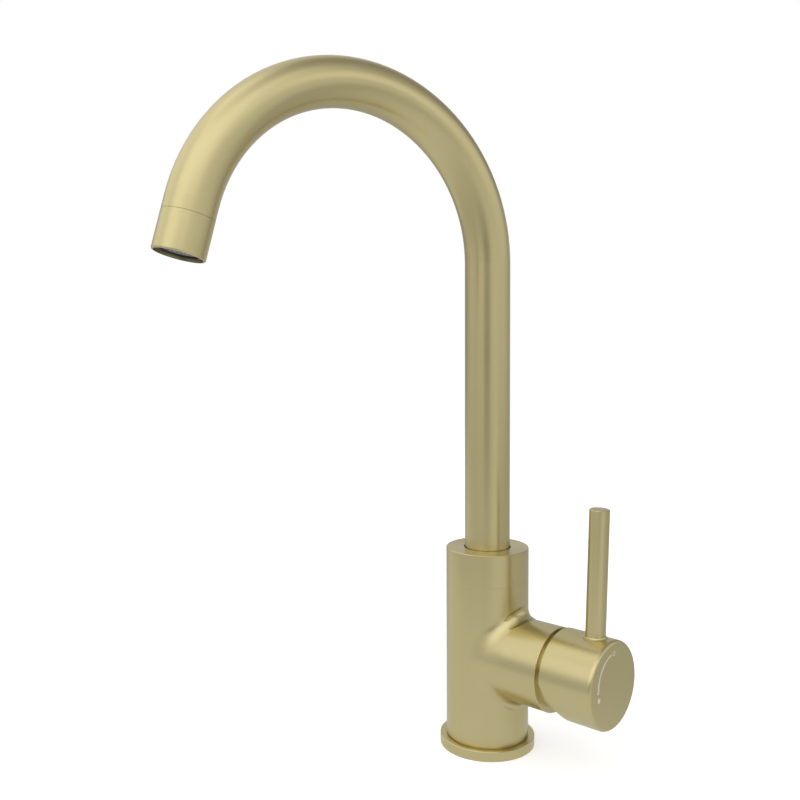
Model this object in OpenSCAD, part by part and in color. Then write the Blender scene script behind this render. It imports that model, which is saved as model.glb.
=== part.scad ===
// Side-lever mixer faucet with a swivelling gooseneck spout.
// Frame: +Z up, origin at the centre of the underside, user in front at -Y.
// The valve branch and its lever stand out along +X. Millimetres.

/* [Base] */
// How far the flange stands out beyond the body
flange_rim = 3.5; // [2:0.25:6]
// Thickness of the base flange
flange_h = 5.5; // [4.5:0.5:8]
// Step from the body's side to its spigot inside the flange
spigot_step = 4; // [3:0.25:5]
// Distance from the flange's rim to the seal under it
seal_edge = 2; // [1:0.25:2.5]
// Width of the seal under the flange
base_seal_w = 3; // [2:0.5:3]
// Thickness of the seal under the flange
base_seal_h = 1.5; // [1:0.25:2.5]

/* [Body] */
// Diameter of the upright body
body_d = 46; // [44:0.5:52]
// Height of the body with its collar
body_h = 112; // [108:1:140]
// Height of the part of the collar that shows
collar_h = 17.7; // [12:0.1:22]
// Height of the shadow gap between body and flange
shadow_gap = 0.5; // [0.2:0.1:1]
// Depth of the shadow gap
shadow_depth = 0.8; // [0.4:0.1:1.5]
// Break on the visible edges
edge_break = 0.3; // [0.1:0.1:0.6]
// Break on the two edges of the seam between body and collar
seam_break = 0.1; // [0.05:0.05:0.3]

/* [Connections below] */
// Diameter of the two hose inlets
inlet_d = 10; // [8:0.5:11]
// Depth of the inlet threads
inlet_depth = 14; // [10:1:18]
// Distance of each inlet from the branch plane
inlet_y = 11; // [10.5:0.25:12]
// Distance of the inlets from the body axis towards the branch
inlet_x = 4; // [2:0.5:6]
// Diameter of the fixing stud hole
stud_d = 8; // [6:1:10]
// Depth of the fixing stud hole
stud_depth = 18; // [12:1:24]
// Distance of the fixing stud behind the body axis
stud_x = 12; // [10:0.5:14]

/* [Waterways] */
// Diameter of the supply passages
supply_d = 7.2; // [6:0.2:7.4]
// Diameter of the ports in the cartridge seat
port_d = 5.2; // [4.6:0.1:5.6]
// Diameter of the riser that feeds the spout
riser_d = 10; // [7:0.5:11]
// Distance of the riser behind the body axis
riser_x = 9; // [8:0.5:9.5]

/* [Branch] */
// Height of the branch axis above the deck
branch_z = 53; // [48:1:56]
// Wall of the branch outside the cartridge
branch_wall = 4.9; // [4:0.1:7]
// Distance from the body axis to the end of the branch
branch_len = 47; // [46:0.5:60]
// Depth of the cartridge bore
seat_depth = 23; // [23:0.5:26]

/* [Cartridge] */
// Diameter of the cartridge
cartridge_d = 35; // [34:0.5:40]
// Clearance round the cartridge in its bore
cartridge_gap = 0.1; // [0.05:0.05:0.2]
// Thickness of the cartridge base
cart_base_h = 3.5; // [3:0.25:4.5]
// Thickness of the fixed ceramic disc
fixed_disc_h = 3; // [2.5:0.25:3.5]
// Thickness of the moving ceramic disc
moving_disc_h = 3; // [2.5:0.25:3.5]
// Thickness of the driver on the moving disc
driver_h = 4; // [3.5:0.25:4.5]
// Diameter of the moving disc
moving_disc_d = 22; // [20:0.5:22.5]
// Wall of the cartridge housing round the discs
chamber_wall = 2.5; // [2:0.1:2.8]
// Thickness of the carrier's foot
carrier_foot_h = 1.6; // [1.2:0.1:2]
// Thickness of the housing's shoulder
shoulder_h = 1.8; // [1.2:0.1:2.5]
// Diameter of the rotating carrier
carrier_d = 22; // [20:0.5:23]
// Wall of the housing's neck round the carrier
neck_wall = 2.95; // [2:0.05:3]
// Angle from the closed lever to the middle of the mixing range
port_turn = 50; // [40:1:60]
// Distance of the inlet ports from the middle, across the mixing direction
inlet_port_side = 6.3; // [6:0.1:6.8]
// Distance of the inlet ports from the middle, along the flow direction
inlet_port_up = 6.2; // [6:0.1:6.8]
// Distance of the outlet port from the middle
outlet_port_down = 4; // [3.5:0.1:5]
// Diameter of the mixing pocket under the moving disc
pocket_d = 12.8; // [11:0.1:13]
// Depth of the mixing pocket
pocket_h = 1.5; // [1:0.1:2]
// Diameter of the locating pegs under the cartridge
peg_d = 3; // [2:0.5:3]
// Length of the locating pegs
peg_h = 2; // [1.5:0.5:3]
// Distance of the locating pegs from the middle
peg_side = 13.5; // [12.5:0.25:14.5]
// Outer diameter of the port seals
port_seal_d = 8.8; // [8:0.1:9]
// Thickness of the port seals
port_seal_h = 1.2; // [1:0.1:1.3]

/* [Nut and cover ring] */
// Step from the cartridge bore to the nut thread
nut_step = 0.9; // [0.6:0.1:1.5]
// How far the nut stands out of the branch
nut_proud = 4; // [3:0.5:4]
// Number of wrench notches in the nut
nut_notches = 4; // [2:1:6]
// Width of the wrench notches
notch_w = 3; // [2:0.5:4]
// Wall of the domed cover ring
dome_wall = 2; // [1.5:0.1:2.5]

/* [Control stem] */
// Distance of the tilt pivot in front of the branch end
pivot_out = 4.5; // [4.5:0.25:6]
// Distance from the pivot to the ball that drives the disc
arm_len = 15.6; // [15:0.1:16]
// Diameter of the stem's lower arm
arm_d = 3.2; // [2.8:0.1:3.4]
// Diameter of the drive ball
ball_d = 4.4; // [4:0.1:5]
// Side of the square stem
stem_w = 7; // [6:0.5:7]
// Diameter of the stem's pivot barrel
barrel_d = 10; // [9:0.5:10.5]
// Diameter of the pivot pin
pin_d = 3; // [2:0.5:4]
// Length of the pivot pin
pin_len = 20; // [18:0.5:20.5]
// How far the stem reaches from the pivot
stem_reach = 23.4; // [20:0.2:24]
// Length of the slot in the carrier
slot_len = 16.6; // [16:0.1:17]
// How far the carrier stands out past the pivot
carrier_out = 6.5; // [5:0.5:7]

/* [Knob] */
// Gap between branch and knob
knob_gap = 3; // [2.5:0.1:3.5]
// Length of the knob
knob_len = 30; // [29:0.5:36]
// Wall of the knob
knob_wall = 3; // [2.5:0.1:4]
// Thickness of the knob's face
face_h = 3.5; // [3:0.1:5]
// Clearance between knob and cover ring
knob_clear = 0.5; // [0.4:0.1:1]
// Round on the knob's front edge
knob_round = 2; // [0.6:0.1:2.5]
// Slope of the relief under the knob, from upright
relief_angle = 29; // [27:0.5:34]
// Diameter of the boss that holds the stem
boss_d = 17; // [15:0.5:17]
// Depth of the boss behind the knob's face
boss_len = 12.5; // [10:0.5:13]
// Largest tilt of the lever
tilt_max = 25; // [20:1:25]

/* [Lever] */
// Diameter of the lever
lever_d = 10.4; // [8:0.1:12]
// Height of the lever's top above the branch axis
lever_top = 89.5; // [70:0.5:120]
// Distance of the lever behind the knob's face
lever_back = 10.7; // [9:0.1:12]
// Outward lean of the lever
lever_lean = 1.6; // [0:0.1:3]
// Radius of the flare at the lever's foot
lever_flare = 1.2; // [0.6:0.1:2]
// Diameter of the lever's threaded end
lever_thread_d = 6; // [5:0.5:6]
// Diameter of the pillar that takes the lever's thread
pillar_d = 11; // [10:0.5:11]

/* [Grub screw] */
// Diameter of the grub screw
grub_d = 5; // [4:0.5:5]
// Length of the grub screw
grub_len = 4.6; // [4:0.2:4.8]
// Width across flats of the grub screw's hex socket
grub_hex = 2.5; // [2:0.5:3]
// Thickness of the cap over the grub screw
cap_h = 2; // [1.5:0.25:2.5]

/* [Temperature mark] */
// Radius of the arc on the face
mark_r = 15.2; // [12:0.1:17]
// Height of the arc's centre above the knob's axis
mark_up = 1.8; // [0:0.1:2.5]
// Angle from the top to the start of the arc
mark_from = 7; // [5:1:15]
// Angle from the top to the end of the arc
mark_to = 92; // [60:1:100]
// Greatest width of the arc
mark_w = 1.4; // [0.5:0.1:1.6]
// Width of the arc where it starts
mark_thin = 0.5; // [0.3:0.05:0.6]
// Angle that the arrowhead spans
head_span = 6; // [4:0.5:9]
// Width of the arrowhead
head_w = 3; // [2:0.1:4]
// Depth of the mark
mark_depth = 0.3; // [0.2:0.05:0.5]
// Radius of the two dots
dot_r = 1.3; // [0.8:0.05:1.5]
// Line width of the open dot
dot_line = 0.45; // [0.3:0.05:0.6]

/* [Spout] */
// Outer diameter of the spout tube
tube_d = 25; // [24:0.5:28]
// Wall of the spout tube
tube_wall = 1.5; // [1.2:0.1:2]
// Height of the straight column above the deck
column_h = 269.5; // [180:1:340]
// Radius of the bend, at the middle of the tube
bend_r = 87; // [60:1:120]
// Angle of the bend
bend_angle = 164.5; // [140:0.5:180]
// Turn of the spout at rest, from straight ahead towards -X
spout_turn = 14; // [0:1:45]
// Length of the straight run between the bend and the tip sleeve
tip_run = 6.4; // [4:0.2:12]
// Length of the tip sleeve
tip_len = 18.8; // [18:0.2:30]
// Round on the tip's lip
tip_round = 0.6; // [0.4:0.1:0.8]
// Seam between tube and tip sleeve
seam_gap = 0.15; // [0.1:0.05:0.4]

/* [Swivel] */
// Height of the swivel chamber's floor above the deck
chamber_z = 66; // [66:0.5:68]
// Wall of the foot round the tube
foot_wall = 2.4; // [2.2:0.1:3]
// Length of the spout foot
foot_len = 16; // [14:0.5:17]
// Thickness of the lower bearing ring
lower_ring_h = 2; // [1.5:0.25:2.5]
// Thickness of the upper bearing ring
upper_ring_h = 1.5; // [1:0.25:2]
// Step from the chamber to the collar thread
collar_step = 2; // [1.5:0.25:3]
// Radial gap that shows between tube and collar
tube_gap = 0.6; // [0.3:0.1:1]
// Depth of the gap that shows
tube_gap_h = 4; // [2:0.5:6]
// Thickness of each O-ring
o_ring_d = 1.76; // [1.5:0.02:1.8]
// Width of an O-ring groove
groove_w = 2.4; // [2:0.1:2.6]

/* [Aerator] */
// Diameter of the aerator thread
aerator_d = 23; // [20:0.5:23]
// Length of the aerator
aerator_len = 9; // [8:0.5:10]
// How far the aerator sits back from the lip
aerator_back = 1.2; // [0.8:0.1:3]
// Wall of the aerator's ring
aerator_wall = 2; // [1.5:0.1:2.5]
// Diameter of the holes in the aerator
jet_d = 1.3; // [1:0.1:1.4]
// Distance between the holes in the aerator
jet_pitch = 2.2; // [2:0.1:2.6]
// Rings of holes round the middle hole
jet_rings = 3; // [1:1:3]
// How far the aerator's face sits back in its ring
screen_back = 1; // [0.5:0.1:2]
// Depth of the holes in the aerator
jet_depth = 5.5; // [3:0.5:6]
// Rim left round the well behind the holes
well_rim = 1; // [0.6:0.1:2]
// Thickness of the aerator washer
washer_h = 1.5; // [1:0.25:2]

/* [Hidden] */
$fn = 96;
eps = 0.01;             // overshoot that keeps cuts clean
running = 0.05;         // radial clearance of a running fit
seated = 0.02;          // radial clearance of a seated or glued fit
weld = 1;               // overlap that joins the pieces of one solid

body_r = body_d / 2;
flange_r = body_r + flange_rim;
spigot_r = body_r - spigot_step;
base_seal_r = flange_r - seal_edge;
collar_z = body_h - collar_h;

cartridge_r = cartridge_d / 2;
bore_r = cartridge_r + cartridge_gap;
branch_r = bore_r + branch_wall;
thread_r = bore_r + nut_step;
dome_in_r = cartridge_r;
dome_r = dome_in_r + dome_wall;
knob_in_r = dome_r + knob_clear;
knob_r = knob_in_r + knob_wall;

// Stations along the branch, measured from the body axis
seat_x = branch_len - seat_depth;
fixed_disc_x = seat_x + cart_base_h;
moving_disc_x = fixed_disc_x + fixed_disc_h;
driver_x = moving_disc_x + moving_disc_h;
carrier_x = driver_x + driver_h + running;
roof_x = carrier_x + carrier_foot_h + running;
shoulder_x = roof_x + shoulder_h;
pivot_x = branch_len + pivot_out;
knob_x = branch_len + knob_gap;
face_x = knob_x + knob_len;
lever_x = face_x - lever_back;
lever_foot_r = lever_d / 2 + lever_flare;
lever_hollow = knob_r - sqrt(knob_r * knob_r - lever_foot_r * lever_foot_r);
lever_sink = lever_hollow + lever_foot_r * sin(lever_lean) + running;
boss_x = face_x - face_h - boss_len;

chamber_r = cartridge_r - chamber_wall;
carrier_r = carrier_d / 2;
neck_in_r = carrier_r + running;
neck_r = neck_in_r + neck_wall;
port_r = port_d / 2;
port_seal_r = port_seal_d / 2;
supply_r = supply_d / 2;
arm_lean = tilt_max / 2;
disc_offset = arm_len * sin(arm_lean);
boss_r = boss_d / 2;
dome_open = tilt_max + asin(boss_r / dome_in_r) + 2;
dome_hole_r = dome_r * sin(dome_open);

// Ports in the seat: each is [across, up] from the branch axis
cold_port = port_place(inlet_port_side, inlet_port_up);
hot_port = port_place(-inlet_port_side, inlet_port_up);
outlet_port = port_place(0, -outlet_port_down);

// Swivel stations above the deck
tube_r = tube_d / 2;
tube_in_r = tube_r - tube_wall;
foot_z = chamber_z + lower_ring_h;
foot_top = foot_z + foot_len;
foot_r = tube_r + seated + foot_wall;
swivel_r = foot_r + running;
collar_seat_z = foot_top + upper_ring_h + running;
collar_thread_r = swivel_r + collar_step;
groove_r = foot_r - o_ring_d + seated;
o_ring_mid_r = groove_r + o_ring_d / 2;

// Tip stations along the tube, measured from the seam between tube and tip sleeve
aerator_r = aerator_d / 2;
aerator_end = tip_len - aerator_back;
aerator_start = aerator_end - aerator_len;
washer_start = aerator_start - washer_h;
tip_spigot_len = tip_run - running;

// ---------- Places ----------

// A port's place after the cartridge is turned to the middle of the mixing range
function port_place(side, up) =
    [side * cos(port_turn) - up * sin(port_turn), side * sin(port_turn) + up * cos(port_turn)];

// Children are drawn along +Z and end up along the branch, with their -X upwards
module on_branch() {
    translate([0, 0, branch_z]) rotate([0, 90, 0]) children();
}

// Children are drawn in the branch's own frame and turned with the cartridge
module on_cartridge() {
    on_branch() rotate([0, 0, port_turn]) children();
}

// One copy at each of the cartridge's ports
module at_ports() {
    for (place = [[-inlet_port_up, inlet_port_side], [-inlet_port_up, -inlet_port_side],
                  [outlet_port_down, 0]])
        translate([place[0], place[1], 0]) children();
}

// Turns the children with the spout
module on_spout() {
    rotate([0, 0, -spout_turn]) children();
}

// Children are drawn along +Z from the seam between tube and tip sleeve outwards
module at_tip() {
    on_spout()
        translate([0, -bend_r, column_h])
            rotate([90, 0, 90]) rotate([0, 0, bend_angle])
                translate([bend_r, tip_run, 0]) rotate([-90, 0, 0]) children();
}

// Children are drawn along +Z from the knob's surface outwards
module at_lever() {
    on_branch() translate([-knob_r, 0, lever_x]) rotate([0, lever_lean - 90, 0]) children();
}

// ---------- Shapes ----------

module ring(outer, inner, height) {
    difference() {
        cylinder(r = outer, h = height);
        translate([0, 0, -eps]) cylinder(r = inner, h = height + 2 * eps);
    }
}

// A rod with its far edge broken by a small cone
module broken_rod(r, h, break_far = edge_break, break_near = 0) {
    if (break_near > 0) cylinder(r1 = r - break_near, r2 = r, h = break_near);
    translate([0, 0, break_near]) cylinder(r = r, h = h - break_far - break_near);
    translate([0, 0, h - break_far]) cylinder(r1 = r, r2 = r - break_far, h = break_far);
}

// A rod with its far edge rounded
module rounded_rod(r, h, edge) {
    rotate_extrude() {
        square([r, h - edge]);
        square([r - edge, h]);
        translate([r - edge, h - edge]) intersection() {
            circle(r = edge);
            square(edge);
        }
    }
}

// ---------- Base ----------

module base_flange() {
    color("#b9ac78")
    difference() {
        broken_rod(flange_r, flange_h);
        translate([0, 0, -eps]) cylinder(r = spigot_r + running, h = flange_h + 2 * eps);
        translate([0, 0, -eps])
            ring(base_seal_r, base_seal_r - base_seal_w, base_seal_h + eps);
    }
}

module base_seal() {
    color("#202020")
    ring(base_seal_r - seated, base_seal_r - base_seal_w + seated, base_seal_h - seated);
}

// ---------- Body ----------

module body_outside() {
    cylinder(r = spigot_r, h = flange_h + shadow_gap);
    translate([0, 0, flange_h]) cylinder(r = body_r - shadow_depth, h = shadow_gap + weld);
    translate([0, 0, flange_h + shadow_gap])
        broken_rod(body_r, collar_z - flange_h - shadow_gap, seam_break, edge_break);
    on_branch() broken_rod(branch_r, branch_len);
}

// Supply passages from below, one to each inlet port
module supply_passages() {
    for (side = [[inlet_y, cold_port], [-inlet_y, hot_port]]) {
        port = side[1];
        translate([inlet_x, side[0], -eps]) cylinder(r = inlet_d / 2, h = inlet_depth + eps);
        translate([inlet_x, side[0], 0]) cylinder(r = supply_r, h = branch_z + port[1]);
        // crosses from the riser to the port's own line
        translate([inlet_x, min(side[0], port[0]), branch_z + port[1]])
            rotate([-90, 0, 0]) cylinder(r = port_r, h = abs(side[0] - port[0]));
        translate([inlet_x, port[0], branch_z + port[1]])
            rotate([0, 90, 0]) cylinder(r = port_r, h = seat_x - inlet_x + eps);
    }
}

// Outlet passage from the seat back to the riser, and up to the swivel chamber
module outlet_passage() {
    translate([-riser_x, outlet_port[0], branch_z + outlet_port[1]])
        rotate([0, 90, 0]) cylinder(r = port_r, h = riser_x + seat_x + eps);
    translate([-riser_x, 0, branch_z + outlet_port[1] - port_r])
        cylinder(r = riser_d / 2, h = chamber_z - branch_z - outlet_port[1] + port_r + eps);
}

module body_casting() {
    color("#b9ac78")
    difference() {
        body_outside();
        supply_passages();
        outlet_passage();
        translate([-stud_x, 0, -eps]) cylinder(r = stud_d / 2, h = stud_depth + eps);
        // swivel chamber and collar thread
        translate([0, 0, chamber_z]) cylinder(r = swivel_r, h = collar_z);
        translate([0, 0, collar_seat_z]) cylinder(r = collar_thread_r, h = collar_z);
        // cartridge bore, nut thread and peg holes
        on_branch() translate([0, 0, seat_x]) cylinder(r = bore_r, h = branch_len);
        on_branch() translate([0, 0, shoulder_x - running]) cylinder(r = thread_r, h = branch_len);
        on_cartridge()
            for (side = [-1, 1])
                translate([0, side * peg_side, seat_x - peg_h - 2 * eps])
                    cylinder(r = peg_d / 2 + running, h = peg_h + 3 * eps);
    }
}

module spout_collar() {
    color("#b9ac78")
    difference() {
        union() {
            translate([0, 0, collar_z]) broken_rod(body_r, collar_h, break_near = seam_break);
            translate([0, 0, collar_seat_z])
                cylinder(r = collar_thread_r - seated, h = collar_z - collar_seat_z + weld);
        }
        translate([0, 0, collar_seat_z - eps]) cylinder(r = tube_r + running, h = body_h);
        translate([0, 0, body_h - tube_gap_h]) cylinder(r = tube_r + tube_gap, h = tube_gap_h + eps);
    }
}

module lower_bearing_ring() {
    color("#e8e6df")
    translate([0, 0, chamber_z]) ring(swivel_r - seated, tube_in_r, lower_ring_h - seated);
}

module upper_bearing_ring() {
    color("#e8e6df")
    translate([0, 0, foot_top + running])
        ring(swivel_r - seated, tube_r + running, upper_ring_h - seated);
}

// ---------- Cartridge, fixed pieces ----------

module cartridge_base() {
    color("#d9d5c8")
    on_cartridge() {
        difference() {
            translate([0, 0, seat_x]) cylinder(r = cartridge_r, h = cart_base_h);
            translate([0, 0, seat_x - eps]) at_ports() {
                cylinder(r = port_r, h = cart_base_h + 2 * eps);
                cylinder(r = port_seal_r, h = port_seal_h + eps);
                translate([0, 0, cart_base_h - port_seal_h + eps])
                    cylinder(r = port_seal_r, h = port_seal_h + eps);
            }
        }
        for (side = [-1, 1])
            translate([0, side * peg_side, seat_x - peg_h]) cylinder(r = peg_d / 2, h = peg_h + weld);
    }
}

module port_seal_set(start) {
    on_cartridge() translate([0, 0, start]) at_ports()
        ring(port_seal_r - seated, port_r + seated, port_seal_h - 2 * seated);
}

module port_seals() {
    color("#202020") port_seal_set(seat_x + seated);
}

module disc_seals() {
    color("#202020") port_seal_set(fixed_disc_x - port_seal_h + seated);
}

module fixed_disc() {
    color("#f2f0ea")
    on_cartridge()
    difference() {
        translate([0, 0, fixed_disc_x]) cylinder(r = chamber_r - running, h = fixed_disc_h - seated);
        translate([0, 0, fixed_disc_x - eps]) at_ports()
            cylinder(r = port_r, h = fixed_disc_h + 2 * eps);
    }
}

module cartridge_housing() {
    color("#e4e1d6")
    on_branch()
    difference() {
        union() {
            translate([0, 0, fixed_disc_x]) cylinder(r = cartridge_r, h = shoulder_x - fixed_disc_x);
            translate([0, 0, shoulder_x - weld])
                cylinder(r = neck_r, h = branch_len - shoulder_x + weld);
        }
        translate([0, 0, fixed_disc_x - eps]) cylinder(r = chamber_r, h = roof_x - fixed_disc_x + eps);
        cylinder(r = neck_in_r, h = branch_len + eps);
    }
}

module cartridge_nut() {
    color("#c8a85a")
    on_branch()
    difference() {
        union() {
            translate([0, 0, shoulder_x])
                cylinder(r = thread_r - running, h = branch_len - shoulder_x - edge_break);
            translate([0, 0, shoulder_x])
                cylinder(r = dome_in_r - running, h = branch_len + nut_proud - shoulder_x);
        }
        translate([0, 0, shoulder_x - eps])
            cylinder(r = neck_r + cartridge_gap, h = branch_len + nut_proud);
        for (i = [0:nut_notches - 1])
            rotate([0, 0, i * 360 / nut_notches])
                translate([0, -notch_w / 2, branch_len + nut_proud / 2])
                    cube([thread_r, notch_w, nut_proud]);
    }
}

module cover_ring() {
    color("#c2b682")
    on_branch()
    difference() {
        union() {
            translate([0, 0, pivot_x]) sphere(r = dome_r);
            translate([0, 0, branch_len]) cylinder(r = dome_r, h = pivot_out);
        }
        translate([0, 0, pivot_x - 2 * dome_r]) cylinder(r = 2 * dome_r, h = 2 * dome_r - pivot_out);
        translate([0, 0, pivot_x]) sphere(r = dome_in_r);
        translate([0, 0, branch_len - weld]) cylinder(r = dome_in_r, h = pivot_out + weld);
        translate([0, 0, pivot_x]) cylinder(r = dome_hole_r, h = 2 * dome_r);
    }
}

// ---------- Cartridge, moving pieces ----------

module moving_disc() {
    color("#f2f0ea")
    on_branch()
    translate([disc_offset, 0, moving_disc_x]) difference() {
        cylinder(r = moving_disc_d / 2, h = moving_disc_h - seated);
        translate([0, 0, -eps]) cylinder(r = pocket_d / 2, h = pocket_h + eps);
    }
}

module disc_driver() {
    color("#3a6ea5")
    on_branch()
    translate([disc_offset, 0, driver_x])
        ring(moving_disc_d / 2, ball_d / 2 + running, driver_h);
}

module cartridge_carrier() {
    color("#e4e1d6")
    on_branch()
    difference() {
        union() {
            translate([0, 0, carrier_x]) cylinder(r = chamber_r - running, h = carrier_foot_h);
            translate([0, 0, carrier_x]) cylinder(r = carrier_r, h = pivot_x + carrier_out - carrier_x);
        }
        translate([-slot_len / 2, -stem_w / 2 - running, carrier_x - eps])
            cube([slot_len, stem_w + 2 * running, pivot_x + carrier_out - carrier_x + 2 * eps]);
        translate([0, -carrier_r - eps, pivot_x])
            rotate([-90, 0, 0]) cylinder(r = pin_d / 2 + seated, h = 2 * carrier_r + 2 * eps);
    }
}

module pivot_pin() {
    color("#9aa0a6")
    on_branch() translate([0, -pin_len / 2, pivot_x])
        rotate([-90, 0, 0]) cylinder(r = pin_d / 2, h = pin_len);
}

module control_stem() {
    color("#c8a85a")
    on_branch() translate([0, 0, pivot_x])
    difference() {
        union() {
            translate([0, -stem_w / 2, 0]) rotate([-90, 0, 0]) cylinder(r = barrel_d / 2, h = stem_w);
            translate([-stem_w / 2, -stem_w / 2, 0]) cube([stem_w, stem_w, stem_reach]);
            rotate([0, 180 - arm_lean, 0]) cylinder(r = arm_d / 2, h = arm_len);
            rotate([0, 180 - arm_lean, 0]) translate([0, 0, arm_len]) sphere(r = ball_d / 2);
        }
        translate([0, -stem_w, 0])
            rotate([-90, 0, 0]) cylinder(r = pin_d / 2 + running, h = 2 * stem_w);
    }
}

// ---------- Knob and lever ----------

// Half-space that the relief takes off the knob's lower rear
module knob_relief() {
    translate([0, 0, knob_x]) rotate([0, -relief_angle, 0])
        translate([0, -2 * knob_r, -4 * knob_r]) cube([4 * knob_r, 4 * knob_r, 4 * knob_r]);
}

module grub_hole(extra) {
    translate([0, 0, lever_x]) rotate([0, 90, 0])
        cylinder(r = grub_d / 2 + extra, h = knob_r + eps);
}

module stem_socket() {
    side = stem_w + 2 * running;
    translate([-side / 2, -side / 2, boss_x - eps])
        cube([side, side, pivot_x + stem_reach - boss_x + running + eps]);
}

module knob_shell() {
    difference() {
        translate([0, 0, knob_x]) rounded_rod(knob_r, knob_len, knob_round);
        translate([0, 0, knob_x - eps]) cylinder(r = knob_in_r, h = knob_len - face_h + eps);
    }
}

module knob() {
    color("#bfb27e")
    difference() {
        union() {
            on_branch() knob_shell();
            on_branch() translate([0, 0, boss_x]) cylinder(r = boss_r, h = boss_len + eps);
            at_lever() translate([0, 0, boss_r - knob_r - weld])
                cylinder(r = pillar_d / 2, h = knob_in_r - boss_r + 2 * weld);
        }
        on_branch() {
            knob_relief();
            stem_socket();
            grub_hole(seated);
            temperature_shape(mark_depth + eps);
        }
        // seat and thread for the lever
        at_lever() translate([0, 0, -lever_sink])
            cylinder(r = lever_foot_r + seated, h = 2 * lever_sink);
        at_lever() translate([0, 0, -knob_r]) cylinder(r = lever_thread_d / 2 + seated, h = knob_r);
    }
}

// The lever's concave flare, as a ring cut by a torus
module lever_flare_ring() {
    rotate_extrude() difference() {
        square([lever_foot_r, lever_flare]);
        translate([lever_foot_r, lever_flare]) circle(r = lever_flare);
    }
}

module lever() {
    color("#bfb27e")
    at_lever() {
        translate([0, 0, -lever_sink]) broken_rod(lever_d / 2, lever_top - knob_r + lever_sink);
        translate([0, 0, -lever_sink]) cylinder(r = lever_foot_r, h = lever_sink);
        lever_flare_ring();
        translate([0, 0, boss_r - knob_r])
            cylinder(r = lever_thread_d / 2, h = knob_r - boss_r - lever_sink + eps);
    }
}

module grub_screw() {
    color("#8a8d90")
    on_branch() translate([0, 0, lever_x]) rotate([0, 90, 0])
        translate([0, 0, stem_w / 2 + running]) difference() {
            cylinder(r = grub_d / 2, h = grub_len);
            translate([0, 0, grub_len / 2])
                cylinder(r = grub_hex / 2 / cos(30), h = grub_len, $fn = 6);
        }
}

module screw_cap() {
    color("#bfb27e")
    on_branch() translate([0, 0, lever_x]) rotate([0, 90, 0])
        translate([0, 0, knob_r - cap_h - edge_break]) cylinder(r = grub_d / 2, h = cap_h);
}

// Crescent arc that widens towards hot, with an arrowhead and two dots
module mark_outline() {
    head_len = head_span * mark_r * PI / 180;
    // the arc
    intersection() {
        difference() {
            circle(r = mark_r + mark_thin / 2);
            translate([0, mark_w - mark_thin]) circle(r = mark_r - mark_thin / 2);
        }
        sector(mark_from, mark_to);
    }
    // the arrowhead
    rotate([0, 0, mark_to + head_span]) translate([-mark_r, 0])
        polygon([[0, 0], [-head_w / 2, head_len], [head_w / 2, head_len]]);
    // open dot for cold, full dot for hot
    translate([-mark_r, 0]) difference() {
        circle(r = dot_r);
        circle(r = dot_r - dot_line);
    }
    rotate([0, 0, mark_to + 3 * head_span]) translate([-mark_r, 0]) circle(r = dot_r);
}

// Wedge from one angle to another, counted from the top towards the front
module sector(from, to) {
    reach = 2 * mark_r;
    mid = (from + to) / 2;
    polygon([[0, 0], for (a = [from, mid, to]) [-reach * cos(a), -reach * sin(a)]]);
}

module temperature_shape(depth) {
    translate([-mark_up, 0, face_x - mark_depth]) linear_extrude(height = depth) mark_outline();
}

module temperature_mark() {
    color("#efe9cf")
    on_branch() temperature_shape(mark_depth);
}

// ---------- Spout ----------

module spout_tube() {
    color("#b5a872") {
        on_spout() translate([0, 0, foot_z]) ring(tube_r, tube_in_r, column_h - foot_z);
        on_spout() translate([0, -bend_r, column_h]) rotate([90, 0, 90])
            rotate_extrude(angle = bend_angle) translate([bend_r, 0]) difference() {
                circle(r = tube_r);
                circle(r = tube_in_r);
            }
        // straight run for the tip's spigot, joined inside the wall of the bend
        at_tip() translate([0, 0, -tip_run - weld])
            ring(tube_r - seated, tube_in_r + seated, tip_run + weld);
    }
}

module spout_foot() {
    color("#c8a85a")
    difference() {
        translate([0, 0, foot_z]) ring(foot_r, tube_r + seated, foot_len);
        for (part = [1, 3])
            translate([0, 0, foot_z + part * foot_len / 4 - groove_w / 2])
                ring(foot_r + weld, groove_r, groove_w);
    }
}

module spout_o_rings() {
    color("#202020")
    for (part = [1, 3])
        translate([0, 0, foot_z + part * foot_len / 4])
            rotate_extrude() translate([o_ring_mid_r, 0]) circle(r = o_ring_d / 2 - seated);
}

module spout_tip() {
    color("#b9ac78")
    at_tip()
    difference() {
        union() {
            translate([0, 0, seam_gap]) rounded_rod(tube_r, tip_len - seam_gap, tip_round);
            translate([0, 0, -tip_spigot_len])
                cylinder(r = tube_in_r - seated, h = tip_spigot_len + seam_gap + eps);
        }
        translate([0, 0, -tip_spigot_len - eps])
            cylinder(r = aerator_r - aerator_wall, h = tip_len + tip_spigot_len);
        translate([0, 0, washer_start]) cylinder(r = aerator_r, h = tip_len);
    }
}

module aerator_ring() {
    color("#3c3c3c")
    at_tip() translate([0, 0, aerator_start])
        ring(aerator_r - running, aerator_r - aerator_wall, aerator_len);
}

module aerator_screen() {
    screen_r = aerator_r - aerator_wall - seated;
    screen_h = aerator_len - 2 * screen_back;
    color("#8f8f8c")
    at_tip() translate([0, 0, aerator_start + screen_back]) difference() {
        cylinder(r = screen_r, h = screen_h);
        // blind jets in hexagonal rings
        for (i = [-jet_rings:jet_rings], j = [-jet_rings:jet_rings])
            if (abs(i + j) <= jet_rings)
                translate([jet_pitch * (i + j / 2), jet_pitch * j * sin(60), screen_h - jet_depth])
                    cylinder(r = jet_d / 2, h = aerator_len, $fn = 24);
        // inlet well behind the jets
        translate([0, 0, -eps]) cylinder(r = screen_r - well_rim, h = screen_back);
    }
}

module aerator_washer() {
    color("#202020")
    at_tip() translate([0, 0, washer_start + seated])
        ring(aerator_r - running, aerator_r - aerator_wall, washer_h - 2 * seated);
}

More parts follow.
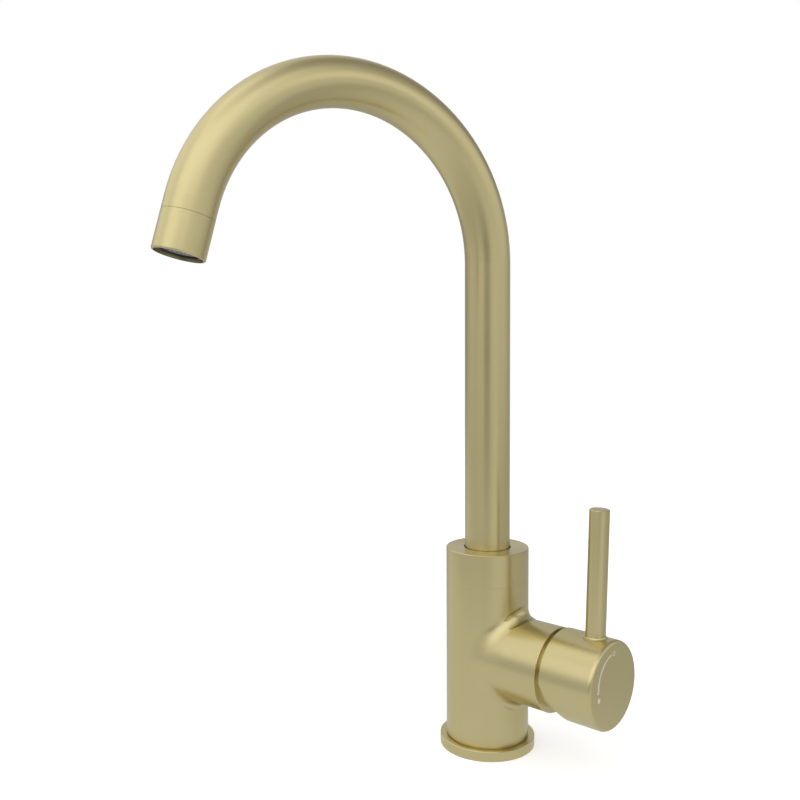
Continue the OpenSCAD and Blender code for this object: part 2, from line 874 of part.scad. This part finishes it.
base_flange();
base_seal();
body_casting();
spout_collar();
lower_bearing_ring();
upper_bearing_ring();
cartridge_base();
port_seals();
disc_seals();
fixed_disc();
cartridge_housing();
cartridge_nut();
cover_ring();
moving_disc();
disc_driver();
cartridge_carrier();
pivot_pin();
control_stem();
knob();
lever();
grub_screw();
screw_cap();
temperature_mark();
spout_tube();
spout_foot();
spout_o_rings();
spout_tip();
aerator_ring();
aerator_screen();
aerator_washer();
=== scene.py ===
import math

import bmesh
import bpy
import numpy as np
from mathutils import Matrix, Vector


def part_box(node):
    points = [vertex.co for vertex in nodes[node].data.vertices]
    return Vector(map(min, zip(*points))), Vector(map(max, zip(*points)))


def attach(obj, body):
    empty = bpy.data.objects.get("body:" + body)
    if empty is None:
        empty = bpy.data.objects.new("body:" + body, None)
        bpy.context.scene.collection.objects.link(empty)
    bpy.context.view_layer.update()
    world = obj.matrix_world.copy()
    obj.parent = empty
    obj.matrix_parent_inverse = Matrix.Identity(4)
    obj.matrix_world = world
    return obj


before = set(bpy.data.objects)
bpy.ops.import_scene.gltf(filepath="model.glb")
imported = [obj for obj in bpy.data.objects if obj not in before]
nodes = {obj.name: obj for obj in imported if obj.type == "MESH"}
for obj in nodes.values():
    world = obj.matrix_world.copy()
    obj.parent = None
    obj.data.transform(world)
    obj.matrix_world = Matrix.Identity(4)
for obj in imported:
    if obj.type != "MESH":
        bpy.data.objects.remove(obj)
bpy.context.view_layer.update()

MM = 0.001


# ---------- Sizes read from the frame ----------

def box_size(node):
    """The node's extent along X, Y and Z."""
    low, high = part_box(node)
    return high - low


def box_centre(node):
    """The middle of the node's box."""
    low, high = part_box(node)
    return (low + high) / 2


def outer_radius_beyond(node, x_from, axis_z):
    """Largest distance from the branch axis among the node's points beyond x_from."""
    points = np.array([v.co for v in nodes[node].data.vertices])
    beyond = points[points[:, 0] > x_from]
    return float(np.hypot(beyond[:, 1], beyond[:, 2] - axis_z).max())


BODY_R = box_size("spout_collar").x / 2
BRANCH_Z = box_centre("cover_ring").z
BRANCH_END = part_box("body_casting")[1].x
# Measured on the last stretch of the branch, clear of the body
BRANCH_R = outer_radius_beyond("body_casting", BRANCH_END - 5 * MM, BRANCH_Z)
# The spout's turn at rest, its bend and its tube, which only the brushing needs
SPOUT_TURN = math.radians(14)
BEND_R = 87 * MM
TUBE_R = 12.5 * MM
COLUMN_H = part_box("spout_tube")[1].z - BEND_R - TUBE_R
LEVER_X = box_centre("screw_cap").x


# ---------- Node helpers ----------

class Shader:
    """Small wrapper that makes the node tree of a material or a world readable."""

    def __init__(self, owner):
        owner.use_nodes = True
        self.tree = owner.node_tree
        self.surface = self.tree.nodes.get("Principled BSDF")

    def node(self, kind, **settings):
        made = self.tree.nodes.new(kind)
        for key, value in settings.items():
            setattr(made, key, value)
        return made

    def link(self, source, target):
        self.tree.links.new(source, target)

    def feed(self, name, source):
        """Link a socket to one of the surface's inputs."""
        self.link(source, self.surface.inputs[name])

    def position(self):
        """Place on the object at rest, in metres."""
        return self.node("ShaderNodeTexCoord").outputs["Object"]

    def vector(self, operation, first, second=None):
        """Vector maths on sockets or constant triples."""
        made = self.node("ShaderNodeVectorMath", operation=operation)
        for socket, value in zip(made.inputs, (first, second)):
            if value is None:
                continue
            if isinstance(value, (tuple, Vector)):
                socket.default_value = value
            else:
                self.link(value, socket)
        return made.outputs["Value"] if operation in ("DOT_PRODUCT", "LENGTH") else made.outputs["Vector"]

    def constant(self, value):
        """A constant vector as a socket."""
        made = self.node("ShaderNodeCombineXYZ")
        for socket, part in zip(made.inputs, value):
            socket.default_value = part
        return made.outputs[0]

    def scaled(self, vector, factor):
        """A vector socket times a number or a socket."""
        made = self.node("ShaderNodeVectorMath", operation="SCALE")
        self.link(vector, made.inputs[0])
        if isinstance(factor, (int, float)):
            made.inputs["Scale"].default_value = factor
        else:
            self.link(factor, made.inputs["Scale"])
        return made.outputs["Vector"]

    def choose(self, factor, first, second):
        """First vector where the factor is 0, second where it is 1."""
        made = self.node("ShaderNodeMix", data_type="VECTOR")
        self.link(factor, made.inputs["Factor"])
        # the Mix node has sockets of every kind, and these are its vector ones
        self.link(first, made.inputs[4])
        self.link(second, made.inputs[5])
        return made.outputs[1]

    def maths(self, operation, first, second=None):
        """Maths on sockets or constant numbers."""
        made = self.node("ShaderNodeMath", operation=operation)
        for socket, value in zip(made.inputs, (first, second)):
            if value is None:
                continue
            if isinstance(value, (int, float)):
                socket.default_value = value
            else:
                self.link(value, socket)
        return made.outputs[0]

    def noise(self, vector, scale, detail=3.0, roughness=0.5):
        """Noise over a vector."""
        made = self.node("ShaderNodeTexNoise")
        made.inputs["Scale"].default_value = scale
        made.inputs["Detail"].default_value = detail
        made.inputs["Roughness"].default_value = roughness
        self.link(vector, made.inputs["Vector"])
        return made.outputs["Fac"]

    def ramp(self, factor, stops):
        """Colour ramp: stops are (place, colour or grey)."""
        made = self.node("ShaderNodeValToRGB")
        elements = made.color_ramp.elements
        while len(elements) < len(stops):
            elements.new(0.5)
        for element, (place, value) in zip(elements, stops):
            element.position = place
            element.color = (value, value, value, 1) if isinstance(value, (int, float)) else (*value, 1)
        self.link(factor, made.inputs["Fac"])
        return made.outputs["Color"]

    def mottle(self, place, scale, detail, dark, light):
        """Soft patches between two colours."""
        cloud = self.noise(place, scale, detail)
        self.feed("Base Color", self.ramp(cloud, [(0.3, dark), (0.7, light)]))

    def bump(self, height, distance):
        """Relief of this depth on the surface."""
        made = self.node("ShaderNodeBump")
        made.inputs["Strength"].default_value = 1.0
        made.inputs["Distance"].default_value = distance
        self.link(height, made.inputs["Height"])
        self.feed("Normal", made.outputs[0])

    def set(self, **values):
        """Constants on the surface's own sockets; an underscore stands for a space."""
        for key, value in values.items():
            self.surface.inputs[key.replace("_", " ")].default_value = value


# ---------- Materials ----------

GOLD_LIGHT = (0.655, 0.572, 0.302)
GOLD_DARK = (0.635, 0.552, 0.290)
GOLD_ROUGHNESS = 0.30
# Patches of the gold's colour and of its haze, per metre
GOLD_PATCHES = 25
HAZE_PATCHES = 60
# Brush strokes: how many per metre across the lines and along them, and how deep
STROKES_ACROSS = 2500
STROKES_ALONG = 40.0
STROKE_DEPTH = 0.0015 * MM
# How far the strokes draw out a reflection, from 0 to 1
BRUSH_SPREAD = 0.5
# Share of the strokes and of the haze in the roughness
STROKE_SHARE = 0.06
HAZE_SHARE = 0.05
# Roughness of the noise's own detail in strokes and grain
FINE_DETAIL = 0.6
# Plain surfaces: patches of colour per metre, and the grain's share in the roughness
PLAIN_PATCHES = 90
GRAIN_SHARE = 0.12
# How far past the body's side the brushing turns round the branch
BRANCH_CLEAR = 2 * MM

X_AXIS = (1.0, 0.0, 0.0)
Z_AXIS = (0.0, 0.0, 1.0)


def round_upright(shader, place, x=0.0):
    """Brushing round an upright axis: the line direction and the distance along the axis."""
    offset = shader.vector("SUBTRACT", place, (x, 0.0, 0.0))
    line = shader.vector("CROSS_PRODUCT", Z_AXIS, offset)
    return line, shader.vector("DOT_PRODUCT", place, Z_AXIS)


def round_lever(shader, place):
    """Brushing round the lever's axis."""
    return round_upright(shader, place, LEVER_X)


def round_branch(shader, place):
    """Brushing round the branch's axis."""
    offset = shader.vector("SUBTRACT", place, (0.0, 0.0, BRANCH_Z))
    line = shader.vector("CROSS_PRODUCT", X_AXIS, offset)
    return line, shader.vector("DOT_PRODUCT", place, X_AXIS)


def round_casting(shader, place):
    """Brushing round the body, and round the branch where the branch stands clear of it."""
    line_body, along_body = round_upright(shader, place)
    line_branch, along_branch = round_branch(shader, place)
    on_branch = shader.maths("GREATER_THAN", along_branch, BODY_R + BRANCH_CLEAR)
    line = shader.choose(on_branch, line_body, line_branch)
    return line, shader.maths("ADD", along_body, shader.maths("MULTIPLY", on_branch, along_branch))


def round_spout(shader, place):
    """Brushing round the spout: upright column first, then along the bow to the tip."""
    forward = Vector((-math.sin(SPOUT_TURN), -math.cos(SPOUT_TURN), 0.0))
    side = forward.cross(Vector(Z_AXIS))
    bend_centre = forward * BEND_R + Vector(Z_AXIS) * COLUMN_H
    from_centre = shader.vector("SUBTRACT", place, bend_centre)
    ahead = shader.vector("DOT_PRODUCT", from_centre, forward)
    above = shader.vector("DOT_PRODUCT", from_centre, Z_AXIS)
    out = shader.vector("ADD", shader.scaled(shader.constant(forward), ahead),
                        shader.scaled(shader.constant(Z_AXIS), above))
    out = shader.vector("NORMALIZE", out)
    axis = shader.vector("CROSS_PRODUCT", tuple(side), out)
    offset = shader.vector("SUBTRACT", from_centre, shader.scaled(out, BEND_R))
    line_bow = shader.vector("CROSS_PRODUCT", axis, offset)
    turn = shader.maths("ARCTAN2", above, shader.maths("MULTIPLY", ahead, -1.0))
    line_column, along_column = round_upright(shader, place)
    on_column = shader.maths("MULTIPLY", shader.maths("LESS_THAN", above, 0.0),
                             shader.maths("LESS_THAN", ahead, 0.0))
    line = shader.choose(on_column, line_bow, line_column)
    return line, shader.maths("ADD", along_column, shader.maths("MULTIPLY", turn, BEND_R))


def satin_gold(name, brushing):
    """Satin gold in fine brushed lines; brushing gives their direction and the distance across them."""
    material = bpy.data.materials.new(name)
    shader = Shader(material)
    coordinates = shader.node("ShaderNodeTexCoord")
    place = coordinates.outputs["Object"]
    line, along = brushing(shader, place)
    shader.mottle(place, GOLD_PATCHES, 2, GOLD_DARK, GOLD_LIGHT)
    # noise drawn out along the lines
    spread = shader.node("ShaderNodeCombineXYZ")
    shader.link(shader.vector("DOT_PRODUCT", place, (STROKES_ALONG, STROKES_ALONG, 0.0)), spread.inputs[0])
    shader.link(shader.vector("DOT_PRODUCT", place, (STROKES_ALONG, -STROKES_ALONG, 0.0)), spread.inputs[1])
    shader.link(shader.maths("MULTIPLY", along, STROKES_ACROSS), spread.inputs[2])
    strokes = shader.noise(spread.outputs[0], 1.0, 3, FINE_DETAIL)
    haze = shader.noise(place, HAZE_PATCHES, 3)
    uneven = shader.maths("ADD", shader.maths("MULTIPLY", strokes, STROKE_SHARE),
                          shader.maths("MULTIPLY", haze, HAZE_SHARE))
    # the two shares are half of themselves on average
    base = GOLD_ROUGHNESS - (STROKE_SHARE + HAZE_SHARE) / 2
    shader.feed("Roughness", shader.maths("ADD", uneven, base))
    shader.bump(strokes, STROKE_DEPTH)
    # the spread of the reflection lies across the lines
    across = shader.vector("CROSS_PRODUCT", coordinates.outputs["Normal"], line)
    turned = shader.node("ShaderNodeVectorTransform", vector_type="VECTOR",
                         convert_from="OBJECT", convert_to="WORLD")
    shader.link(shader.vector("NORMALIZE", across), turned.inputs[0])
    shader.feed("Tangent", turned.outputs[0])
    shader.set(Metallic=1.0, Anisotropic=BRUSH_SPREAD)
    return material


def plain_material(name, dark, light, roughness, grain_scale=400, metallic=0.0, bump_depth=0.01):
    """A moulded or machined surface: mottled colour, uneven roughness and a fine grain."""
    material = bpy.data.materials.new(name)
    shader = Shader(material)
    place = shader.position()
    shader.mottle(place, PLAIN_PATCHES, 3, dark, light)
    grain = shader.noise(place, grain_scale, 4, FINE_DETAIL)
    uneven = shader.maths("MULTIPLY", grain, GRAIN_SHARE)
    shader.feed("Roughness", shader.maths("ADD", uneven, roughness - GRAIN_SHARE / 2))
    shader.bump(grain, bump_depth * MM)
    shader.set(Metallic=metallic)
    return material


materials = {
    "gold_upright": satin_gold("gold_upright", round_upright),
    "gold_casting": satin_gold("gold_casting", round_casting),
    "gold_branch": satin_gold("gold_branch", round_branch),
    "gold_lever": satin_gold("gold_lever", round_lever),
    "gold_spout": satin_gold("gold_spout", round_spout),
    "raw_brass": plain_material("raw_brass", (0.62, 0.44, 0.19), (0.72, 0.54, 0.26), 0.32, 900, 1.0),
    "seal_rubber": plain_material("seal_rubber", (0.010, 0.010, 0.011), (0.022, 0.022, 0.024), 0.62),
    "bearing_plastic": plain_material("bearing_plastic", (0.70, 0.68, 0.62), (0.78, 0.76, 0.71), 0.42),
    "cartridge_plastic": plain_material("cartridge_plastic", (0.55, 0.53, 0.44), (0.63, 0.61, 0.52), 0.40),
    "driver_plastic": plain_material("driver_plastic", (0.04, 0.10, 0.22), (0.06, 0.14, 0.28), 0.38),
    "ceramic": plain_material("ceramic", (0.80, 0.79, 0.74), (0.86, 0.85, 0.81), 0.10, bump_depth=0.001),
    "steel": plain_material("steel", (0.42, 0.43, 0.44), (0.52, 0.53, 0.54), 0.24, 900, 1.0),
    "mark_enamel": plain_material("mark_enamel", (0.56, 0.48, 0.35), (0.63, 0.54, 0.40), 0.35),
    "aerator_ring": plain_material("aerator_ring", (0.020, 0.020, 0.020), (0.035, 0.035, 0.033), 0.45),
    "aerator_screen": plain_material("aerator_screen", (0.15, 0.15, 0.145), (0.20, 0.20, 0.19), 0.45),
}

node_materials = {
    "gold_upright": ["base_flange", "spout_collar"],
    "gold_casting": ["body_casting"],
    "gold_lever": ["lever"],
    "gold_spout": ["spout_tube", "spout_tip"],
    "gold_branch": ["knob", "cover_ring", "screw_cap"],
    "raw_brass": ["cartridge_nut", "control_stem", "spout_foot"],
    "seal_rubber": ["base_seal", "port_seals", "disc_seals", "spout_o_rings", "aerator_washer"],
    "bearing_plastic": ["lower_bearing_ring", "upper_bearing_ring"],
    "cartridge_plastic": ["cartridge_base", "cartridge_housing", "cartridge_carrier"],
    "driver_plastic": ["disc_driver"],
    "ceramic": ["fixed_disc", "moving_disc"],
    "steel": ["pivot_pin", "grub_screw"],
    "mark_enamel": ["temperature_mark"],
    "aerator_ring": ["aerator_ring"],
    "aerator_screen": ["aerator_screen"],
}
for material_name, members in node_materials.items():
    for member in members:
        nodes[member].data.materials.clear()
        nodes[member].data.materials.append(materials[material_name])


# ---------- The casting's blend between body and branch ----------

# Radius of the fillet above and below the branch, and at its two sides
BLEND_R = 7 * MM
BLEND_R_SIDE = 24 * MM
# How sharply the radius grows towards the sides
BLEND_GROWTH = 6
# Sections round the branch, and steps along each section's arc
BLEND_STEPS = 240
BLEND_ARC = 20
# Added to the arc's radius, so that it stands just proud; how far its edges and its back run into the metal
BLEND_LIFT = -0.01 * MM
BLEND_EDGE = 0.3 * MM
BLEND_ROOT = 1.2 * MM


def new_mesh(name, vertices, faces, material):
    """A smooth-shaded object with outward normals."""
    mesh = bpy.data.meshes.new(name)
    mesh.from_pydata([tuple(v) for v in vertices], [], faces)
    mesh.validate()
    form = bmesh.new()
    form.from_mesh(mesh)
    bmesh.ops.recalc_face_normals(form, faces=form.faces)
    form.to_mesh(mesh)
    form.free()
    mesh.materials.append(material)
    mesh.shade_smooth()
    piece = bpy.data.objects.new(name, mesh)
    bpy.context.scene.collection.objects.link(piece)
    return piece


def blend_section(turn):
    """Section of the blend at this turn round the branch: a closed loop of points, softer at the sides."""
    ball_r = BLEND_R + (BLEND_R_SIDE - BLEND_R) * math.sin(turn) ** BLEND_GROWTH
    reach = BRANCH_R + ball_r
    across, up = reach * math.sin(turn), reach * math.cos(turn)
    along = math.sqrt((BODY_R + ball_r) ** 2 - across ** 2)
    ball = Vector((along, across, up))
    on_body = Vector((along, across, 0)) * (BODY_R / (BODY_R + ball_r)) + Vector((0, 0, up))
    on_branch = Vector((along, across * BRANCH_R / reach, up * BRANCH_R / reach))
    to_body, to_branch = (on_body - ball).normalized(), (on_branch - ball).normalized()
    middle = to_body.angle(to_branch)
    loop = []
    for i in range(BLEND_ARC + 1):
        share = i / BLEND_ARC
        body_part = math.sin((1 - share) * middle) * to_body
        branch_part = math.sin(share * middle) * to_branch
        direction = (body_part + branch_part) / math.sin(middle)
        loop.append(ball + (ball_r + BLEND_LIFT) * direction)
    root = (on_body + on_branch) / 2 + (to_body + to_branch) * BLEND_ROOT
    return [loop[0] + to_body * BLEND_EDGE, *loop, loop[-1] + to_branch * BLEND_EDGE, root]


def casting_blend():
    """The smooth fillet of the casting, as a closed ring round the root of the branch."""
    sections = [blend_section(2 * math.pi * i / BLEND_STEPS) for i in range(BLEND_STEPS)]
    count = len(sections[0])
    vertices = [point + Vector((0, 0, BRANCH_Z)) for section in sections for point in section]
    faces = []
    for i in range(BLEND_STEPS):
        here, there = i * count, (i + 1) % BLEND_STEPS * count
        for j in range(count):
            after = (j + 1) % count
            faces.append((here + j, there + j, there + after, here + after))
    piece = new_mesh("casting_blend", vertices, faces, materials["gold_casting"])
    # the hidden back of the ring keeps its own flat normals
    first, last = 1, BLEND_ARC + 1
    for edge in piece.data.edges:
        here, there = (v % count for v in edge.vertices)
        edge.use_edge_sharp = here == there and here in (first, last)
    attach(piece, "body")
    return piece


casting_blend()


# ---------- Stage, light and camera ----------

# Camera: where it stands, seen from the object, and how it is turned from looking at the upright axis
CAMERA_AZIMUTH = 37.13
CAMERA_DISTANCE = 0.5194
CAMERA_HEIGHT = 0.2380
CAMERA_PAN = 0.1081
CAMERA_PITCH = -0.0583
CAMERA_ROLL = -0.0056
CAMERA_SENSOR = 36
CAMERA_LENS = 929.8 / 800 * CAMERA_SENSOR
CAMERA_SHIFT = (0.0166, -0.0295)
CAMERA_CLIP = (0.01, 50)

# Floor: its radius, its colour, its own glow, and where it fades out
FLOOR_REACH = 1.6
FLOOR_COLOUR = (0.86, 0.86, 0.855, 1)
FLOOR_GLOW = 0.50
FLOOR_FADE = [(0.35, 1.0), (0.95, 0.0)]
# Painted light on the floor, seen only in the metal's reflections: its brightness along this bearing, over
# this span in metres, darkest towards the back right, away from the key light
PAINTED_FLOOR_SHADE_BEARING = 140
PAINTED_FLOOR_SHADE_SPAN = 0.8
PAINTED_FLOOR_LIGHT = [(0.0, 0.52), (0.25, 0.72), (0.44, 0.71), (0.50, 0.66), (0.53, 0.61), (0.65, 0.51), (1.0, 0.45)]


def by_bearing(*pairs):
    """Ramp stops from (azimuth from the camera's, brightness) pairs; azimuths run from -180 to 180."""
    return [(azimuth / 360 + 0.5, value) for azimuth, value in pairs]


# Brightness of the studio at eye level: even sides, a dark gap where the camera stands
LEVEL = by_bearing(
    (-180, 0.54), (-140, 0.34), (-120, 0.46), (-90, 0.62), (-70, 0.58), (-30, 0.60), (-21, 0.56),
    (-12, 0.18), (8, 0.18), (17, 0.56), (30, 0.62), (50, 0.66), (90, 0.70), (110, 0.60), (130, 0.46),
    (150, 0.48), (180, 0.56))
# Brightness half way up: the large key light, over the camera and round to the left
HIGH = by_bearing(
    (-180, 0.60), (-150, 0.76), (-130, 0.90), (-110, 1.05), (-90, 1.05), (-70, 0.92), (-52, 1.24),
    (-30, 1.30), (10, 1.30), (30, 1.22), (50, 1.05), (70, 0.56), (90, 0.46), (110, 0.39), (130, 0.33),
    (150, 0.30), (180, 0.60))
# Brightness overhead
TOP = by_bearing(
    (-180, 0.40), (-130, 0.90), (-110, 1.10), (-70, 1.35), (-50, 0.88), (-30, 1.00), (0, 0.85),
    (30, 0.66), (50, 0.56), (70, 0.46), (90, 0.38), (110, 0.32), (150, 0.32), (180, 0.40))
# By the sine of the height: where level turns to half way up, and that to overhead
LEVEL_TO_HIGH = [(0.16, 0.0), (0.33, 1.0)]
HIGH_TO_TOP = [(0.80, 0.0), (0.92, 1.0)]
# The low panel on the right, by bearing and by half the sine of the height plus a half
PANEL = by_bearing((50, 0.0), (68, 0.32), (112, 0.38), (128, 0.0))
PANEL_HEIGHT = [(0.57, 0.0), (0.62, 1.0), (0.73, 1.0), (0.81, 0.0)]


def bearing(azimuth):
    """Level unit vector at this azimuth from the camera's, counted to the right as it sees."""
    turn = math.radians(CAMERA_AZIMUTH + azimuth)
    return Vector((math.sin(turn), -math.cos(turn), 0.0))


def floor_mesh():
    """Vertices and faces of a round floor: rings of quads round a fan of triangles."""
    rings, spokes = 24, 96
    vertices = [(0, 0, 0)]
    for i in range(1, rings + 1):
        out = FLOOR_REACH * i / rings
        for j in range(spokes):
            turn = 2 * math.pi * j / spokes
            vertices.append((out * math.cos(turn), out * math.sin(turn), 0))
    faces = [(0, 1 + j, 1 + (j + 1) % spokes) for j in range(spokes)]
    for i in range(rings - 1):
        here, there = 1 + i * spokes, 1 + (i + 1) * spokes
        for j in range(spokes):
            k = (j + 1) % spokes
            faces.append((here + j, there + j, there + k, here + k))
    return vertices, faces


def floor():
    """A round pale floor that fades out far from the object; reflections see a painted glow on it instead of
    its lit surface.
    """
    material = bpy.data.materials.new("pale_floor")
    shader = Shader(material)
    shader.set(Base_Color=FLOOR_COLOUR, Roughness=0.6, Specular_IOR_Level=0.1)
    shader.set(Emission_Color=(1, 1, 1, 1), Emission_Strength=FLOOR_GLOW)
    # painted light on the floor for reflections: brighter to the front left towards the key light, darker
    # towards the back right
    place = shader.position()
    side = shader.vector("DOT_PRODUCT", place, tuple(bearing(PAINTED_FLOOR_SHADE_BEARING)))
    span = shader.maths("ADD", shader.maths("DIVIDE", side, PAINTED_FLOOR_SHADE_SPAN), 0.5)
    painted_floor_glow = shader.node("ShaderNodeEmission")
    shader.link(shader.ramp(span, PAINTED_FLOOR_LIGHT), painted_floor_glow.inputs["Color"])
    length = shader.vector("LENGTH", place)
    shader.feed("Alpha", shader.ramp(shader.maths("DIVIDE", length, FLOOR_REACH), FLOOR_FADE))
    # glossy rays see the painted floor light, all other rays the lit pale floor
    mix = shader.node("ShaderNodeMixShader")
    shader.link(shader.node("ShaderNodeLightPath").outputs["Is Glossy Ray"], mix.inputs["Fac"])
    shader.link(shader.surface.outputs[0], mix.inputs[1])
    shader.link(painted_floor_glow.outputs[0], mix.inputs[2])
    shader.link(mix.outputs[0], shader.tree.nodes["Material Output"].inputs["Surface"])
    vertices, faces = floor_mesh()
    made = new_mesh("floor", vertices, faces, material)


def studio():
    """A soft surround: two large bright sides, a darker gap at the camera, plain white behind the floor."""
    made = bpy.data.worlds.new("studio")
    shader = Shader(made)
    shader.tree.nodes.clear()
    direction = shader.node("ShaderNodeTexCoord").outputs["Generated"]
    ahead = shader.vector("DOT_PRODUCT", direction, tuple(bearing(0)))
    right = shader.vector("DOT_PRODUCT", direction, tuple(bearing(90)))
    up = shader.vector("DOT_PRODUCT", direction, Z_AXIS)
    around_turn = shader.maths("DIVIDE", shader.maths("ARCTAN2", right, ahead), 2 * math.pi)
    turn = shader.maths("ADD", around_turn, 0.5)
    level, high, top = (shader.ramp(turn, stops) for stops in (LEVEL, HIGH, TOP))
    even = shader.choose(shader.ramp(up, LEVEL_TO_HIGH), level, high)
    even = shader.choose(shader.ramp(up, HIGH_TO_TOP), even, top)
    height = shader.maths("ADD", shader.maths("MULTIPLY", up, 0.5), 0.5)
    panel = shader.vector("MULTIPLY", shader.ramp(turn, PANEL), shader.ramp(height, PANEL_HEIGHT))
    surround, backdrop = shader.node("ShaderNodeBackground"), shader.node("ShaderNodeBackground")
    shader.link(shader.vector("ADD", even, panel), surround.inputs["Color"])
    backdrop.inputs["Color"].default_value = (1, 1, 1, 1)
    mix = shader.node("ShaderNodeMixShader")
    shader.link(shader.node("ShaderNodeLightPath").outputs["Is Camera Ray"], mix.inputs["Fac"])
    shader.link(surround.outputs[0], mix.inputs[1])
    shader.link(backdrop.outputs[0], mix.inputs[2])
    shader.link(mix.outputs[0], shader.node("ShaderNodeOutputWorld").inputs["Surface"])
    bpy.context.scene.world = made
    bpy.context.scene.view_settings.view_transform = "Standard"


def camera():
    """Between the body and the spout's top in height, a little to the lever's side of the front."""
    data = bpy.data.cameras.new("camera")
    data.sensor_width = CAMERA_SENSOR
    data.lens = CAMERA_LENS
    data.shift_x, data.shift_y = CAMERA_SHIFT
    data.clip_start, data.clip_end = CAMERA_CLIP
    made = bpy.data.objects.new("camera", data)
    made.location = bearing(0) * CAMERA_DISTANCE + Vector(Z_AXIS) * CAMERA_HEIGHT
    pan = Matrix.Rotation(math.radians(CAMERA_AZIMUTH) + CAMERA_PAN, 4, "Z")
    pitch = Matrix.Rotation(math.pi / 2 + CAMERA_PITCH, 4, "X")
    roll = Matrix.Rotation(CAMERA_ROLL, 4, "Z")
    made.rotation_mode = "QUATERNION"
    made.rotation_quaternion = (pan @ pitch @ roll).to_quaternion()
    bpy.context.scene.collection.objects.link(made)
    bpy.context.scene.camera = made


floor()
studio()
camera()
